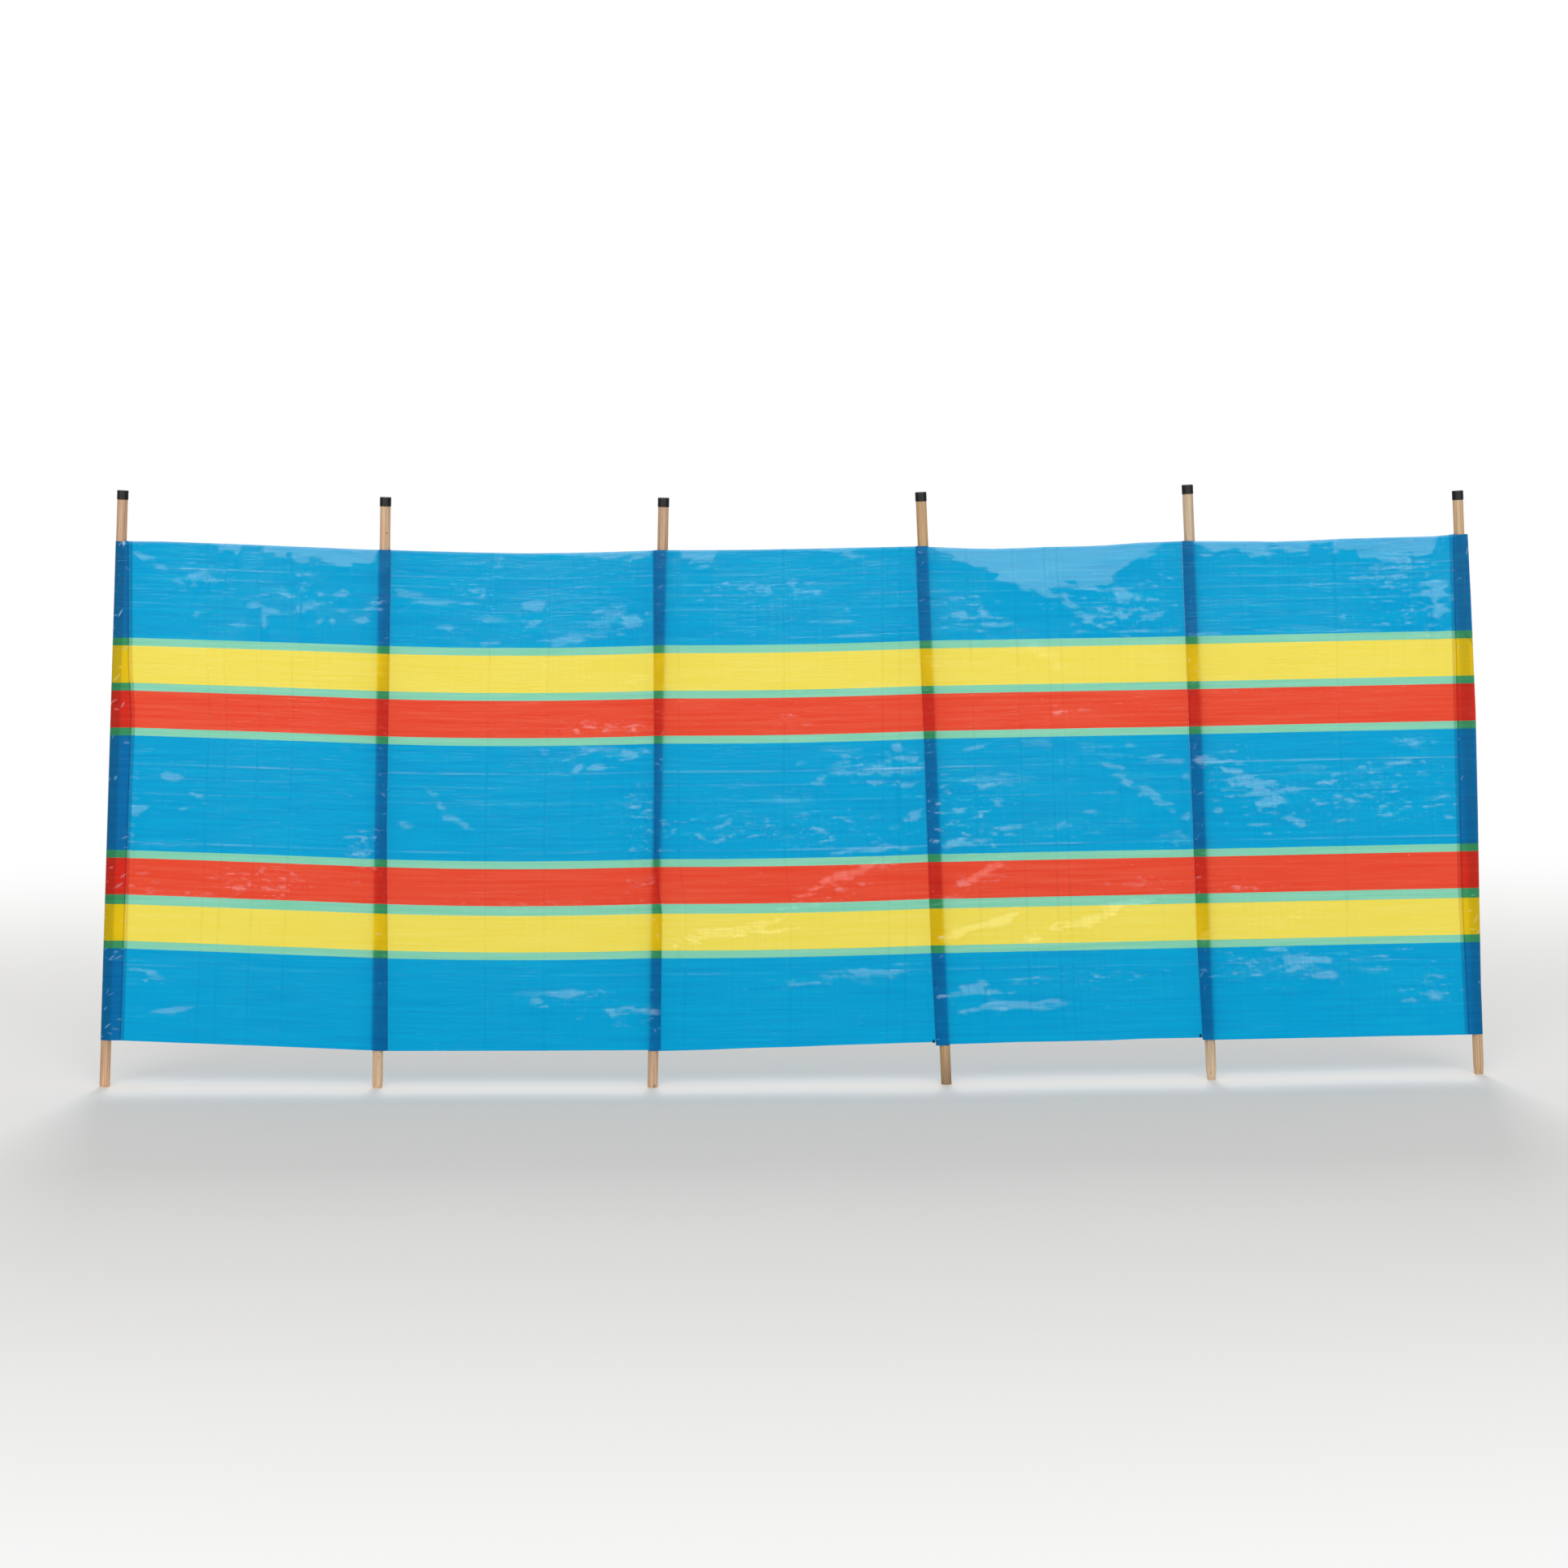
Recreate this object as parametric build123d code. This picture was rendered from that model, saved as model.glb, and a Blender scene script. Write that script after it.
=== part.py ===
from build123d import *
import os
from math import acos, atan2, cos, hypot, radians, sin

# Beach windbreak: one striped cloth, five bays long, held up by six wooden poles.
# The poles stand in sewn sleeves behind the cloth and are pushed into the ground.
# Units are millimetres. X runs along the windbreak to the right as seen from its
# smooth front, Y points away from that front, and Z is up. The origin is the centre
# of the left-hand end pole's foot, at ground level, and everything ends at the ground.

# Cloth: laminated film, drawn thicker than the real sheet so that it can be handled
cloth_height = 1200.0
cloth_thickness = 1.0
lay_gap = 0.3
seam_gap = 0.3

# Poles: round softwood dowel, bare over and under the cloth, with a pencil point that
# is driven into the ground; together with the cloth's height that makes 1500 long
pole_diameter = 25.0
bare_head = 125.0
bare_foot = 175.0
tip_diameter = 6.0
top_bevel = 1.5

# Caps: thin black plastic cups pushed on the pole tops
cap_height = 22.0
cap_wall = 0.9
cap_roof = 2.0
cap_play = 0.1
cap_round = 2.0

# Sleeves: loops of the same cloth round the poles, each sewn along one upright seam
sleeve_play = 0.3
nose_thickness = 2.0
web_bite = 0.25
hollow_run = 0.5

# Laps: flat stretches of a bay in front of a sleeve, a little past its far side
lap_margin = 2.0

# How the windbreak stands, from its left end: how much more than a bay's width each two
# feet are apart, how far back each foot is, and each pole's lean to the right
bay_width = 650.0
foot_spreads = [15.0, 14.0, 57.0, -8.0, 5.0]
foot_backs = [0.0, -42.0, -60.0, -50.0, -20.0, 30.0]
lean_angles = [3.3, 1.9, 1.7, -2.3, -2.6, -2.8]

# How the cloth hangs on each pole: its lift off the ground, how much more than the
# usual bare head shows over it, and how long the pole's own point is
cloth_lifts = [115.0, 92.0, 90.0, 96.0, 100.0, 99.0]
head_extras = [-1.0, 1.0, -3.0, 0.0, 8.0, -11.0]
point_lengths = [65.0, 95.0, 90.0, 80.0, 90.0, 110.0]

# Seams: how far to the right of its pole's axis each sleeve is sewn, at the cloth's
# lower and upper edge; the third one crosses its pole
low_seams = [36.0, 27.0, 22.0, -28.0, -27.0, -27.0]
high_seams = [20.0, 15.0, -19.0, -15.0, -18.0, -19.0]

# Bellies: how far each bay bows back at its lower and its upper edge
low_bellies = [5.0, 6.0, 6.0, 8.0, 8.0]
high_bellies = [40.0, 50.0, 45.0, 50.0, 30.0]

last = len(foot_spreads)
pole_radius = pole_diameter / 2
hollow_radius = pole_radius + sleeve_play
sleeve_radius = hollow_radius + cloth_thickness
lay_depth = cloth_thickness + lay_gap


# Stance
def foot(number):
    """Where a pole's axis meets the ground."""
    along = number * bay_width + sum(foot_spreads[:number])
    return Vector(along, foot_backs[number], 0)


def upward(number):
    """Unit vector up a pole."""
    return Vector(sin(radians(lean_angles[number])), 0, cos(radians(lean_angles[number])))


def cloth_low(number):
    """Point of a pole's axis level with the cloth's lower edge."""
    return foot(number) + upward(number) * (cloth_lifts[number] / upward(number).Z)


def cloth_high(number):
    """Point of a pole's axis level with the cloth's upper edge."""
    return cloth_low(number) + upward(number) * cloth_height


def bay_turn(bay):
    """Heading of a bay in plan, as an angle."""
    step = foot(bay + 1) - foot(bay)
    return atan2(step.Y, step.X)


def sleeve_axes(number):
    """Unit vectors along and back at a pole, halfway between its two bays' headings."""
    turn = (bay_turn(max(number - 1, 0)) + bay_turn(min(number, last - 1))) / 2
    return Vector(cos(turn), sin(turn), 0), Vector(-sin(turn), cos(turn), 0)


def sleeve_front(number):
    """Depth of a sleeve's front in the cloth: end sleeves carry on from their bay."""
    return 0 if number in (0, last) else lay_depth


def face_setback(number):
    """Vector from a pole's axis forward to the cloth's front."""
    return sleeve_axes(number)[1] * -(sleeve_front(number) + sleeve_radius)


# Pole
def pole(number):
    """Bevelled dowel with a pencil point, turned about its axis and cut at the ground."""
    length = bare_foot + cloth_height + bare_head
    outline = Polyline(
        (0, 0),
        (tip_diameter / 2, 0),
        (pole_radius, point_lengths[number]),
        (pole_radius, length - top_bevel),
        (pole_radius - top_bevel, length),
        (0, length),
        close=True,
    )
    stick = revolve(Plane.XZ * make_face(outline), Axis.Z)
    tip = cloth_low(number) - upward(number) * (bare_foot - head_extras[number])
    placed = Plane(origin=tip, z_dir=upward(number)).location * stick
    return split(placed, bisect_by=Plane.XY, keep=Keep.TOP)


# Cap
def cap(number):
    """Plastic cup with a rounded rim, seated on the pole's top."""
    bore_radius = pole_radius + cap_play
    outer_radius = bore_radius + cap_wall
    inner_depth = cap_height - cap_roof
    cup = Cylinder(outer_radius, cap_height, align=(Align.CENTER, Align.CENTER, Align.MIN))
    cup = fillet(cup.edges().group_by(Axis.Z)[-1], cap_round)
    cup -= Cylinder(bore_radius, inner_depth, align=(Align.CENTER, Align.CENTER, Align.MIN))
    rim = cloth_high(number) + upward(number) * (bare_head + head_extras[number] - inner_depth)
    return Plane(origin=rim, z_dir=upward(number)).location * cup


# Sleeve
def web_corners(seam, radius, front):
    """Corners of the flat part between pole and seam, seen along the pole: from the seam
    along the front to the pole's middle, then back from where a line over the seam's
    nose touches the round part, which it bites into a little. The inner web is that
    shape drawn in by the cloth."""
    side = 1 if seam > 0 else -1
    reach = abs(seam)
    rise = sleeve_radius - nose_thickness
    touch = acos(sleeve_radius / hypot(reach, rise)) - atan2(rise, reach)
    bitten = radius - web_bite
    contact = (bitten * cos(touch), sleeve_radius + bitten * sin(touch))
    corners = [(reach, front), (0, front + web_bite), contact]
    if radius == sleeve_radius:
        corners.append((reach, nose_thickness))
    else:
        slope = (sleeve_radius * cos(touch) - reach) / (rise + sleeve_radius * sin(touch))
        corners[0] = (contact[0] + (front - contact[1]) * slope, front)
    return [(side * across, depth) for across, depth in corners]


def web(number, radius, front):
    """Flat part of a sleeve, ruled from its lower to its upper edge. Where the seam
    crosses the pole it is two wedges that run out at the crossing, and their hollow runs
    out before they get too thin for it."""
    along, back = sleeve_axes(number)
    seams = (low_seams[number], high_seams[number])
    origins = [end(number) - back * sleeve_radius for end in (cloth_low, cloth_high)]
    faces = []
    for origin, seam in zip(origins, seams):
        level = Plane(origin=origin, x_dir=along, z_dir=upward(number))
        outline = Polyline(*web_corners(seam, radius, front), close=True)
        faces.append(level * make_face(outline))
    if seams[0] * seams[1] > 0:
        return loft(faces, ruled=True)
    crossing = origins[0] + (origins[1] - origins[0]) * (seams[0] / (seams[0] - seams[1]))
    run_out = 1 if radius == sleeve_radius else hollow_run
    wedges = []
    for origin, face in zip(origins, faces):
        tip = origin + (crossing - origin) * run_out + back * (front + web_bite)
        wedges.append(loft([face, Vertex(*tip)], ruled=True))
    return wedges[0] + wedges[1]


def tube(number, radius):
    """Round part of a sleeve: a disc about the pole swept along it."""
    disc = Plane(origin=cloth_low(number), z_dir=upward(number)) * Circle(radius)
    return extrude(disc, amount=cloth_height)


def sleeve(number):
    """Loop of cloth from its seam round the pole and back, as high as the cloth."""
    loop = tube(number, sleeve_radius) + web(number, sleeve_radius, 0)
    hollow = tube(number, hollow_radius) + web(number, hollow_radius, cloth_thickness)
    return loop - hollow


# Bay of cloth
def bay_end(number, side, high):
    """Corner of a bay at a seam, and its lap as a vector away from the seam."""
    along = sleeve_axes(number)[0]
    seam = high_seams[number] if high else low_seams[number]
    face = (cloth_high(number) if high else cloth_low(number)) + face_setback(number)
    reach = sleeve_radius + lap_margin - side * seam
    lap = lap_margin if number in (0, last) else max(reach, lap_margin)
    return face + along * (seam + side * seam_gap / 2), along * side * lap


def bay_edge(bay, high):
    """Lower or upper edge of a bay, as a thin strip: laps at its ends, a bow between."""
    left, left_lap = bay_end(bay, 1, high)
    right, right_lap = bay_end(bay + 1, -1, high)
    run = right - left
    turn = atan2(run.Y, run.X)
    along, back = Vector(cos(turn), sin(turn), 0), Vector(-sin(turn), cos(turn), 0)
    level = Plane(origin=left, x_dir=run, z_dir=run.cross(back))

    start = Vector(left_lap.dot(along), left_lap.dot(back))
    end = Vector(run.length + right_lap.dot(along), right_lap.dot(back))
    belly = high_bellies[bay] if high else low_bellies[bay]
    middle = (start + end) / 2 + Vector(0, belly)
    corners = [Vector(0, 0), Vector(run.length, 0)]
    front = [Line(corners[0], start), ThreePointArc(start, middle, end), Line(end, corners[1])]
    depth = Vector(0, cloth_thickness)
    rear = [line.moved(Location(depth)) for line in front]
    sides = [Line(corner, corner + depth) for corner in corners]
    return level * make_face(front + rear + sides)


def bay_cloth(bay):
    """One bay: ruled from its nearly straight lower edge to its slack upper edge."""
    return loft([bay_edge(bay, False), bay_edge(bay, True)], ruled=True)


# Assembly
def assemble():
    """Every piece of the windbreak by its name."""
    pieces = {}
    for number in range(last + 1):
        pieces[f"pole_{number + 1}"] = pole(number)
        pieces[f"pole_cap_{number + 1}"] = cap(number)
        pieces[f"sleeve_{number + 1}"] = sleeve(number)
    for bay in range(last):
        pieces[f"bay_{bay + 1}"] = bay_cloth(bay)
    return pieces


os.makedirs("parts", exist_ok=True)
for name, piece in assemble().items():
    export_step(piece, f"parts/{name}.step")
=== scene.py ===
import math

import bpy
import numpy as np
from mathutils import Matrix


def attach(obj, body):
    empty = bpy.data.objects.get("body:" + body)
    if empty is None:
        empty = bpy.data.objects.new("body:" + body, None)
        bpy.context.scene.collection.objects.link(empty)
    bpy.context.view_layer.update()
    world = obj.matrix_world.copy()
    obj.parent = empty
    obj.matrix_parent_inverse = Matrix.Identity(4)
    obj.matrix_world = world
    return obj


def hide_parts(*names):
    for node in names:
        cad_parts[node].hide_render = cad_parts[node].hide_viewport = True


# A striped beach windbreak: one laminated cloth in five bays on six dowel poles, standing on the ground.
# Lengths are in metres unless a name says mm; X runs to the right, Y away from the camera and Z up.
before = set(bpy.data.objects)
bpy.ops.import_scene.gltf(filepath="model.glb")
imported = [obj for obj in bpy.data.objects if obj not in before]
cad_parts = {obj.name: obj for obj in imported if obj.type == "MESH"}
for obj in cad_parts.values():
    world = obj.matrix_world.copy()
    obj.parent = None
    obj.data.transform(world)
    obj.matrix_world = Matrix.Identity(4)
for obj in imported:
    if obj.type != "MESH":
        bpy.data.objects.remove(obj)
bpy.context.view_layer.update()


# Camera
# Stands at eye height, 8.7 m in front of the windbreak's middle, tipped a little down and a hair to
# one side, with a long lens on a 36 mm wide square sensor.
camera_spot = (1.6504, -8.715, 1.665)
camera_pitch = math.radians(6.164)
camera_roll = 0.00753
camera_lens_mm = 83.85

camera_data = bpy.data.cameras.new("camera")
camera_data.sensor_width = 36
camera_data.lens = camera_lens_mm
camera = bpy.data.objects.new("camera", camera_data)
bpy.context.scene.collection.objects.link(camera)
camera.location = camera_spot
camera.rotation_mode = "QUATERNION"
level_view = np.array([[1, 0, 0], [0, math.sin(camera_pitch), math.cos(camera_pitch)],
                       [0, -math.cos(camera_pitch), math.sin(camera_pitch)]])
roll_turn = np.array([[math.cos(camera_roll), -math.sin(camera_roll), 0],
                      [math.sin(camera_roll), math.cos(camera_roll), 0], [0, 0, 1]])
camera_axes = roll_turn @ level_view
camera.rotation_quaternion = Matrix(camera_axes.T.tolist()).to_quaternion()
bpy.context.scene.camera = camera


# Stance
# Each pole is pushed into the ground by hand, so it has its own foot, depth and lean; the cloth is
# 1.2 m high and hangs from pole to pole at a slightly different height on each, and it takes up 8 mm
# more of the last one.
cloth_height = 1.2
pole_feet = np.array([(0.000, 0.000), (0.665, -0.042), (1.329, -0.060),
                      (2.036, -0.050), (2.678, -0.020), (3.333, 0.030)])
pole_leans = np.radians([3.3, 1.9, 1.7, -2.3, -2.6, -2.8])
cloth_lifts = np.array([0.115, 0.092, 0.090, 0.096, 0.100, 0.099])
cloth_spans = np.array([1.2, 1.2, 1.2, 1.2, 1.2, 1.208])
pole_count = len(pole_feet)
bay_count = pole_count - 1

bay_steps = np.diff(pole_feet, axis=0)
bay_turns = np.arctan2(bay_steps[:, 1], bay_steps[:, 0])
sleeve_turns = (np.append(bay_turns[0], bay_turns) + np.append(bay_turns, bay_turns[-1])) / 2


def upward(pole):
    """Unit vector up a pole, which leans only along the windbreak."""
    return np.array([math.sin(pole_leans[pole]), 0, math.cos(pole_leans[pole])])


def along(turn):
    """Level unit vector along the cloth at a heading."""
    return np.array([math.cos(turn), math.sin(turn), 0])


def back(turn):
    """Level unit vector square to the cloth, away from its front."""
    return np.array([-math.sin(turn), math.cos(turn), 0])


def pole_axis(pole, heights):
    """Points of a pole's axis level with shares of the cloth's height, 0 at its lower edge."""
    foot = np.array([*pole_feet[pole], 0])
    reach = cloth_lifts[pole] / upward(pole)[2] + np.asarray(heights) * cloth_spans[pole]
    return foot + reach[..., None] * upward(pole)


# Cloth
# Polyethylene tapes woven and laminated on both sides: thin enough for light to come through, with a
# smooth film that mirrors the sky where the cloth leans back, and fine ribs along the weft.
stripe_widths_mm = [222, 20, 90, 20, 89, 21, 275, 20, 88, 21, 87, 21, 226]
stripe_hues = "blue green yellow green red green blue green red green yellow green blue".split()
single_colours = {"blue": "#00A4D8", "green": "#8AD6B8", "yellow": "#F6E35E", "red": "#EE5137"}
# The layered colours are the deeper colour of cloth lying on cloth, and also the painted shadow of the pole
# behind it, where it blocks the light coming through.
layered_and_pole_shadow_colours = {"blue": "#0087CA", "green": "#4AB47B", "yellow": "#FFE01C", "red": "#F03A28"}
rib_spacing_mm = 8.0
streak_spacing_mm = (45, 5)
light_through = 0.35


def linear(hex_colour):
    """Linear red, green and blue of an sRGB hex colour, with full alpha."""
    parts = [int(hex_colour[i:i + 2], 16) / 255 for i in (1, 3, 5)]
    return [p / 12.92 if p <= 0.04045 else ((p + 0.055) / 1.055) ** 2.4 for p in parts] + [1]


def add_node(tree, kind, inputs=None, **settings):
    """Adds a node with its settings; each input takes a value or the socket that feeds it."""
    node = tree.nodes.new(kind)
    for name, value in settings.items():
        setattr(node, name, value)
    for name, value in (inputs or {}).items():
        if isinstance(value, bpy.types.NodeSocket):
            tree.links.new(value, node.inputs[name])
        else:
            node.inputs[name].default_value = value
    return node


def new_material(name):
    """An empty node material and its tree, with the output node that its surface feeds."""
    material = bpy.data.materials.new(name)
    material.use_nodes = True
    material.node_tree.nodes.clear()
    return material, material.node_tree, add_node(material.node_tree, "ShaderNodeOutputMaterial")


def stripe_ramp(tree, share, colours):
    """Colours of the stripes by share of the cloth's height."""
    ramp = add_node(tree, "ShaderNodeValToRGB", {"Fac": share})
    ramp.color_ramp.interpolation = "CONSTANT"
    stops = ramp.color_ramp.elements
    edges = np.cumsum([0] + stripe_widths_mm[:-1]) / sum(stripe_widths_mm)
    for number, (edge, hue) in enumerate(zip(edges, stripe_hues)):
        stop = stops[number] if number < 2 else stops.new(edge)
        stop.position = edge
        stop.color = linear(colours[hue])
    return ramp.outputs["Color"]


def cloth_material():
    """Laminated cloth: stripes by height, deeper in colour where layers lie on each other, with the painted
    shadow of the pole behind them in that deeper colour, and along tapes with more dye in them; marks
    from the mesh that whiten it for wear and painted highlights and darken it for painted shade and dark
    marks; fine level streaks, and a third of the light let through."""
    material, tree, output = new_material("laminated_striped_polyethylene")
    place = add_node(tree, "ShaderNodeUVMap", uv_map="cloth_mm").outputs["UV"]
    split = add_node(tree, "ShaderNodeSeparateXYZ", {"Vector": place}).outputs
    share = add_node(tree, "ShaderNodeMath", {0: split["Y"], 1: 1000 * cloth_height}, operation="DIVIDE")
    layers = add_node(tree, "ShaderNodeAttribute", attribute_name="layers").outputs["Fac"]
    stripes = add_node(tree, "ShaderNodeMix", {
        0: layers, 6: stripe_ramp(tree, share.outputs[0], single_colours),
        7: stripe_ramp(tree, share.outputs[0], layered_and_pole_shadow_colours)}, data_type="RGBA").outputs[2]

    ribs = add_node(tree, "ShaderNodeMapping", {"Vector": place, "Scale": (0.004, 1 / rib_spacing_mm, 1)})
    rib = add_node(tree, "ShaderNodeTexNoise", {"Vector": ribs.outputs[0], "Scale": 1, "Detail": 3})
    density = add_node(tree, "ShaderNodeMapRange", {"Value": rib.outputs["Fac"], "From Min": 0.3,
                                                    "From Max": 0.7, "To Min": 1.12, "To Max": 0.92})
    dyed = add_node(tree, "ShaderNodeGamma", {"Color": stripes, "Gamma": density.outputs[0]})
    crease = add_node(tree, "ShaderNodeAttribute", attribute_name="crease").outputs["Fac"]
    # Negative marks darken the colour: painted shade along folds, seams and over the poles, and a dark mark.
    shade_and_dark_marks = add_node(tree, "ShaderNodeMapRange", {"Value": crease, "From Min": -1, "From Max": 0,
                                                 "To Min": 0.7, "To Max": 1})
    # Positive marks mix the colour towards a pale cyan: whitened scratches and crinkles, and painted
    # highlights on the upper edge, the level folds and the dents over the poles.
    white = add_node(tree, "ShaderNodeMapRange", {"Value": crease, "To Max": 0.8})
    striped = add_node(tree, "ShaderNodeVectorMath", {0: dyed.outputs[0]}, operation="SCALE")
    tree.links.new(shade_and_dark_marks.outputs[0], striped.inputs["Scale"])
    colour = add_node(tree, "ShaderNodeMix", {
        0: white.outputs[0], 6: striped.outputs[0], 7: linear("#BFE6FA")}, data_type="RGBA").outputs[2]
    small = add_node(tree, "ShaderNodeMapping", {
        "Vector": place, "Scale": (1 / streak_spacing_mm[0], 1 / streak_spacing_mm[1], 1)})
    streak = add_node(tree, "ShaderNodeTexNoise", {"Vector": small.outputs[0], "Scale": 1, "Detail": 3,
                                                   "Distortion": 0.8})
    streaked = add_node(tree, "ShaderNodeBump", {"Strength": 0.5, "Distance": 0.0011,
                                                 "Height": streak.outputs["Fac"]})
    bump = add_node(tree, "ShaderNodeBump", {"Strength": 0.2, "Distance": 0.0006,
                                             "Height": rib.outputs["Fac"], "Normal": streaked.outputs[0]})

    film = add_node(tree, "ShaderNodeBsdfPrincipled", {
        "Base Color": colour, "Roughness": 0.15, "IOR": 1.2, "Normal": bump.outputs[0]})
    through = add_node(tree, "ShaderNodeBsdfTranslucent", {"Color": colour})
    mixed = add_node(tree, "ShaderNodeMixShader", {
        0: light_through, 1: film.outputs[0], 2: through.outputs[0]})
    tree.links.new(mixed.outputs[0], output.inputs["Surface"])
    return material


striped_cloth = cloth_material()


def cloth_object(name, points, reach_mm, heights_mm, creases, layers):
    """A grid of points, rows going up and columns along, as a smooth sheet of the striped cloth, with
    millimetres as UV and two marks at each point: from -1, darkest, for painted shade and dark marks, to 1,
    whitest, for whitened wear and painted highlights, and from 0, a single layer, to 1, several layers
    with the painted shadow of a pole."""
    rows, columns = points.shape[:2]
    corner = np.arange((rows - 1) * columns).reshape(rows - 1, columns)[:, :-1]
    faces = np.stack([corner, corner + 1, corner + columns + 1, corner + columns], axis=-1).reshape(-1, 4)
    mesh = bpy.data.meshes.new(name)
    mesh.from_pydata(points.reshape(-1, 3), [], faces.tolist())
    mesh.shade_smooth()
    place = np.stack(np.broadcast_arrays(reach_mm, heights_mm[:, None]), axis=-1).reshape(-1, 2)
    layer = mesh.uv_layers.new(name="cloth_mm")
    layer.data.foreach_set("uv", place[faces.ravel()].astype(np.float32).ravel())
    for mark, values in (("crease", creases), ("layers", layers)):
        attribute = mesh.attributes.new(mark, "FLOAT", "POINT")
        attribute.data.foreach_set("value", values.astype(np.float32).ravel())
    mesh.materials.append(striped_cloth)
    piece = bpy.data.objects.new(name, mesh)
    bpy.context.scene.collection.objects.link(piece)
    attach(piece, "root")
    return piece


# Seams
# Each sleeve is sewn along one upright seam beside its pole. A course is a list of points, each a share
# of the cloth's height and how many mm the seam lies to the right of the pole's axis there; the third
# seam crosses its pole. The deeper colour and painted shadow over a pole reach only as far as its
# shade radius.
seam_courses = [[(0, 39), (0.4, 40), (0.66, 41), (0.76, 31), (1, 21)],
                [(0, 26), (0.17, 23), (0.45, 16), (1, 17)],
                [(0, 18), (0.28, 15), (0.39, -5), (1, -22)],
                [(0, -22), (0.2, -24), (0.6, -19), (1, -19)],
                [(0, -20), (0.2, -24), (1, -21)],
                [(0, -26), (0.3, -30), (1, -19)]]
sleeve_radius = 0.0132
lap_depth = 0.0012
lap_blur = 0.005
pole_shade_radii = [0.0132, 0.0125, 0.0090, 0.0095, 0.0070, 0.0132]
row_step = 0.0025
cloth_rows = np.linspace(0, 1, round(cloth_height / row_step) + 1)


def seam_offset(pole, heights):
    """How far a seam lies to the right of its pole's axis."""
    shares, offsets_mm = zip(*seam_courses[pole])
    return np.interp(heights, shares, offsets_mm) / 1000


def seam_line(pole, heights):
    """Where a sleeve is sewn: beside its pole's axis, on the front of the cloth."""
    depth = sleeve_radius + (lap_depth if 0 < pole < pole_count - 1 else 0)
    turn = sleeve_turns[pole]
    return pole_axis(pole, heights) - back(turn) * depth + seam_offset(pole, heights)[..., None] * along(turn)


# Dents
# The film keeps every dent and wrinkle from being rolled up. Where a dent leans back enough it mirrors
# the bright sky. Dents are given per bay in mm to the right of its left seam and down from its upper edge.
# The upper edge itself leans back, from bay to bay down to a border given by its corners.
leaning_tops = [
    [(200, 0), (210, 30), (255, 35), (266, 0), (312, 0), (330, 14), (372, 32), (378, 4), (386, 30),
     (425, 36), (433, 24), (517, 38), (581, 34), (605, 0)],
    [(395, 0), (455, 17), (490, 21), (610, 22), (635, 0)],
    [(60, 0), (70, 30), (105, 34), (142, 30), (150, 0), (380, 0), (400, 3), (455, 16), (485, 11), (503, 0)],
    [(40, 0), (68, 12), (96, 23), (117, 37), (154, 54), (190, 64), (218, 80), (246, 97), (363, 100),
     (455, 100), (485, 78), (510, 45), (555, 26), (595, 0)],
    [(28, 0), (38, 17), (64, 33), (120, 30), (280, 26), (362, 12), (372, 37), (423, 25), (432, 50),
     (600, 58), (620, 0)]]
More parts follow.
